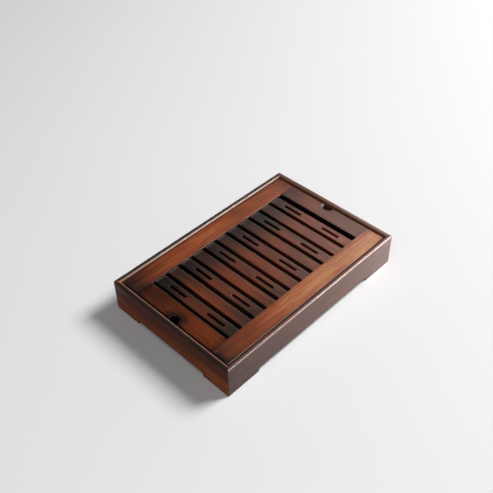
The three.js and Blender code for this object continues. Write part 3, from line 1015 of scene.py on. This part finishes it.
class TEATRAY_OT_panel(Operator):
    """Makes the bottom panel that lies in the walls' grooves"""
    bl_idname = "tea_tray.bottom_panel"
    bl_label = "Bottom panel"

    def execute(self, context):
        edge = ease(SMALL_EASE, LOW_STEPS, face=True)
        levels = [(back, PANEL_LOW.z + up) for back, up in edge]
        levels += [(back, PANEL_HIGH.z - up) for back, up in reversed(edge)]
        rings = [rounded_rectangle(PANEL_HIGH.x - back, PANEL_HIGH.y - back, PANEL_CORNER - back, z)
                 for back, z in levels]
        board = loft("bottom_panel_board", rings)
        join_frame(board, "tray_box", "panel_bamboo", panel_finish(), "bottom_panel")
        return {"FINISHED"}


class TEATRAY_OT_basin(Operator):
    """Moulds the water basin with its rounded floor and flange"""
    bl_idname = "tea_tray.basin"
    bl_label = "Water basin"

    def execute(self, context):
        sizes = context.scene.tea_tray_basin
        reach, wall = sizes.flange_reach, sizes.wall
        corner, flange_corner = sizes.corner, sizes.flange_corner
        half_x, half_y = BASIN_HIGH.x - reach, BASIN_HIGH.y - reach
        low, high = BASIN_LOW.z, BASIN_HIGH.z
        under = high - sizes.flange
        lip = ease(SMALL_EASE, LOW_STEPS, face=True)

        def floor_levels(thickness):
            radius = sizes.floor_radius - thickness
            steps = ease(radius, BEND_STEPS, face=True)
            places = [(sizes.draft + thickness + back, low + thickness + up) for back, up in steps]
            return [(inset, z, max(corner - inset, LEAST_RADIUS)) for inset, z in places]

        levels = floor_levels(wall)
        levels += [(wall - back, high - up, corner - wall + back) for back, up in reversed(lip)]
        levels += [(back - reach, high - up, flange_corner) for back, up in lip]
        levels += [(back - reach, under + up, flange_corner) for back, up in reversed(lip[1:])]
        levels += [(-FLANGE_FILLET, under, corner), (0.0, under - FLANGE_FILLET, corner)]
        levels += reversed(floor_levels(0.0))
        rings = [rounded_rectangle(half_x - inset, half_y - inset, radius, z) for inset, z, radius in levels]
        join_frame(loft("basin_shell", rings), "basin", "basin_plastic", basin_finish(), "water_basin")
        return {"FINISHED"}


class TEATRAY_OT_lid_frame(Operator):
    """Builds the lid's two rails and its two notched end boards"""
    bl_idname = "tea_tray.lid_frame"
    bl_label = "Lid frame"

    def execute(self, context):
        sizes = context.scene.tea_tray_lid
        rails, ends = rail_rings(sizes), end_board_rings(sizes)
        rail_bamboo, end_bamboo = rail_finish(), end_board_finish()
        half_x, half_y = RAIL_HIGH.x, -RAIL_LOW.y
        for side in ("front", "back"):
            board = loft(f"{side}_rail_board", turned(rails, half_x, half_y, side))
            join_frame(board, "lid", "frame_bamboo", rail_bamboo, f"{side}_rail")
        for side in ("left", "right"):
            board = loft(f"{side}_end_board_shape", turned(ends, half_x, half_y, side))
            join_frame(board, "lid", "frame_bamboo", end_bamboo, f"{side}_end_board")
        return {"FINISHED"}


class TEATRAY_OT_slats(Operator):
    """Lays the lid's slats, every other one with two drain slots"""
    bl_idname = "tea_tray.slats"
    bl_label = "Slats"

    def execute(self, context):
        sizes = context.scene.tea_tray_lid
        finish = slat_finish()
        slats = slat_pattern({
            "Count": sizes.slats, "Pitch": SLAT_PITCH, "Width": SLAT_HIGH.x - SLAT_LOW.x,
            "Length": OPENING_WIDTH - 2 * sizes.end_gap, "Thickness": SLAT_HIGH.z - SLAT_LOW.z,
            "Base": SLAT_LOW.z, "Easing": sizes.slat_arris, "Slot width": sizes.slot_width,
            "Slot length": sizes.slot_length, "Slot easing": sizes.slot_arris,
            "Slot place": OPENING_WIDTH / 4, "Tenon": sizes.tenon + sizes.end_gap,
            "Shoulder": sizes.shoulder, "Material": finish}).make("lid_slats")
        join_frame(slats, "lid", "slat_bamboo", finish, *SLAT_NODES)
        return {"FINISHED"}


class TEATRAY_OT_stage(Operator):
    """Sets up the floor, the lamps and the camera"""
    bl_idname = "tea_tray.stage"
    bl_label = "Stage"

    def lamp(self, name, watts, azimuth, elevation, distance, wide, high):
        """An area lamp that faces the tray. The gloss doesn't show the key, and nothing else shows a card."""
        light = bpy.data.lights.new(name, "AREA")
        light.shape = "RECTANGLE"
        light.size, light.size_y = wide, high
        light.energy = watts
        made = placed(name, light)
        turn, rise = math.radians(azimuth), math.radians(elevation)
        aim = Vector((math.cos(turn) * math.cos(rise), math.sin(turn) * math.cos(rise), math.sin(rise)))
        made.location = aim * distance + LAMP_AIM
        made.rotation_euler = aim.to_track_quat("Z", "Y").to_euler()
        made.visible_camera = False
        made.visible_glossy = not name.startswith("Key")
        made.visible_diffuse = not name.endswith("card")

    def room(self, settings):
        """Even light, with a pale wall low on the right."""
        world = bpy.data.worlds.new("Studio")
        world.use_nodes = True
        graph = Graph(world.node_tree)
        place = graph.node("ShaderNodeTexCoord", output="Generated")
        x = graph.node("ShaderNodeSeparateXYZ", None, {"Vector": place})
        right = (x * ROOM_WALL.x + x.out("Y") * ROOM_WALL.y).band(-0.2, 0.5)
        low = 1 - x.out("Z").band(0.12, 0.5)
        strength = right * low * settings.horizon + settings.even
        light = graph.node("ShaderNodeBackground", None, {"Strength": strength})
        graph.node("ShaderNodeOutputWorld", None, {"Surface": light})
        return world

    def execute(self, context):
        scene = context.scene
        settings = scene.tea_tray_stage
        bm = bmesh.new()
        bmesh.ops.create_grid(bm, x_segments=1, y_segments=1, size=FLOOR_REACH)
        floor = piece("floor", bm)
        floor.data.materials.append(floor_finish())

        scene.world = self.room(settings)
        for name, (watts, *place) in LAMPS.items():
            self.lamp(name, getattr(settings, watts), *place)

        camera = bpy.data.cameras.new("Camera")
        camera.lens = settings.lens
        scene.camera = placed("Camera", camera)
        scene.camera.matrix_world = (
            Matrix.Translation(CAMERA_PLACE) @ Matrix.Rotation(CAMERA_AZIMUTH, 4, "Z")
            @ Matrix.Rotation(QUARTER - CAMERA_ELEVATION, 4, "X") @ Matrix.Rotation(CAMERA_ROLL, 4, "Z"))
        scene.view_settings.view_transform = "Standard"
        return {"FINISHED"}


BUILDERS = (
    TEATRAY_OT_stage, TEATRAY_OT_walls, TEATRAY_OT_keys, TEATRAY_OT_panel, TEATRAY_OT_basin,
    TEATRAY_OT_lid_frame, TEATRAY_OT_slats,
)


class TEATRAY_PT_panel(Panel):
    """Lists the tray's sizes, colours and builders"""
    bl_idname = "TEATRAY_PT_panel"
    bl_label = "Tea tray"
    bl_space_type = "VIEW_3D"
    bl_region_type = "UI"
    bl_category = "Tea tray"

    def draw(self, context):
        for attribute, group in GROUPS.items():
            box = self.layout.box()
            box.label(text=group.__doc__)
            for prop in group.__annotations__:
                box.prop(getattr(context.scene, attribute), prop)
        for builder in BUILDERS:
            self.layout.operator(builder.bl_idname)


CLASSES = (*GROUPS.values(), *BUILDERS, TEATRAY_PT_panel)


def register():
    for cls in CLASSES:
        bpy.utils.register_class(cls)
    for attribute, group in GROUPS.items():
        setattr(bpy.types.Scene, attribute, PointerProperty(type=group))


def unregister():
    for attribute in GROUPS:
        delattr(bpy.types.Scene, attribute)
    for cls in reversed(CLASSES):
        bpy.utils.unregister_class(cls)


def main():
    register()
    bpy.ops.tea_tray.stage()
    bpy.ops.tea_tray.walls()
    bpy.ops.tea_tray.keys()
    bpy.ops.tea_tray.bottom_panel()
    bpy.ops.tea_tray.basin()
    bpy.ops.tea_tray.lid_frame()
    bpy.ops.tea_tray.slats()


if __name__ == "__main__":
    main()
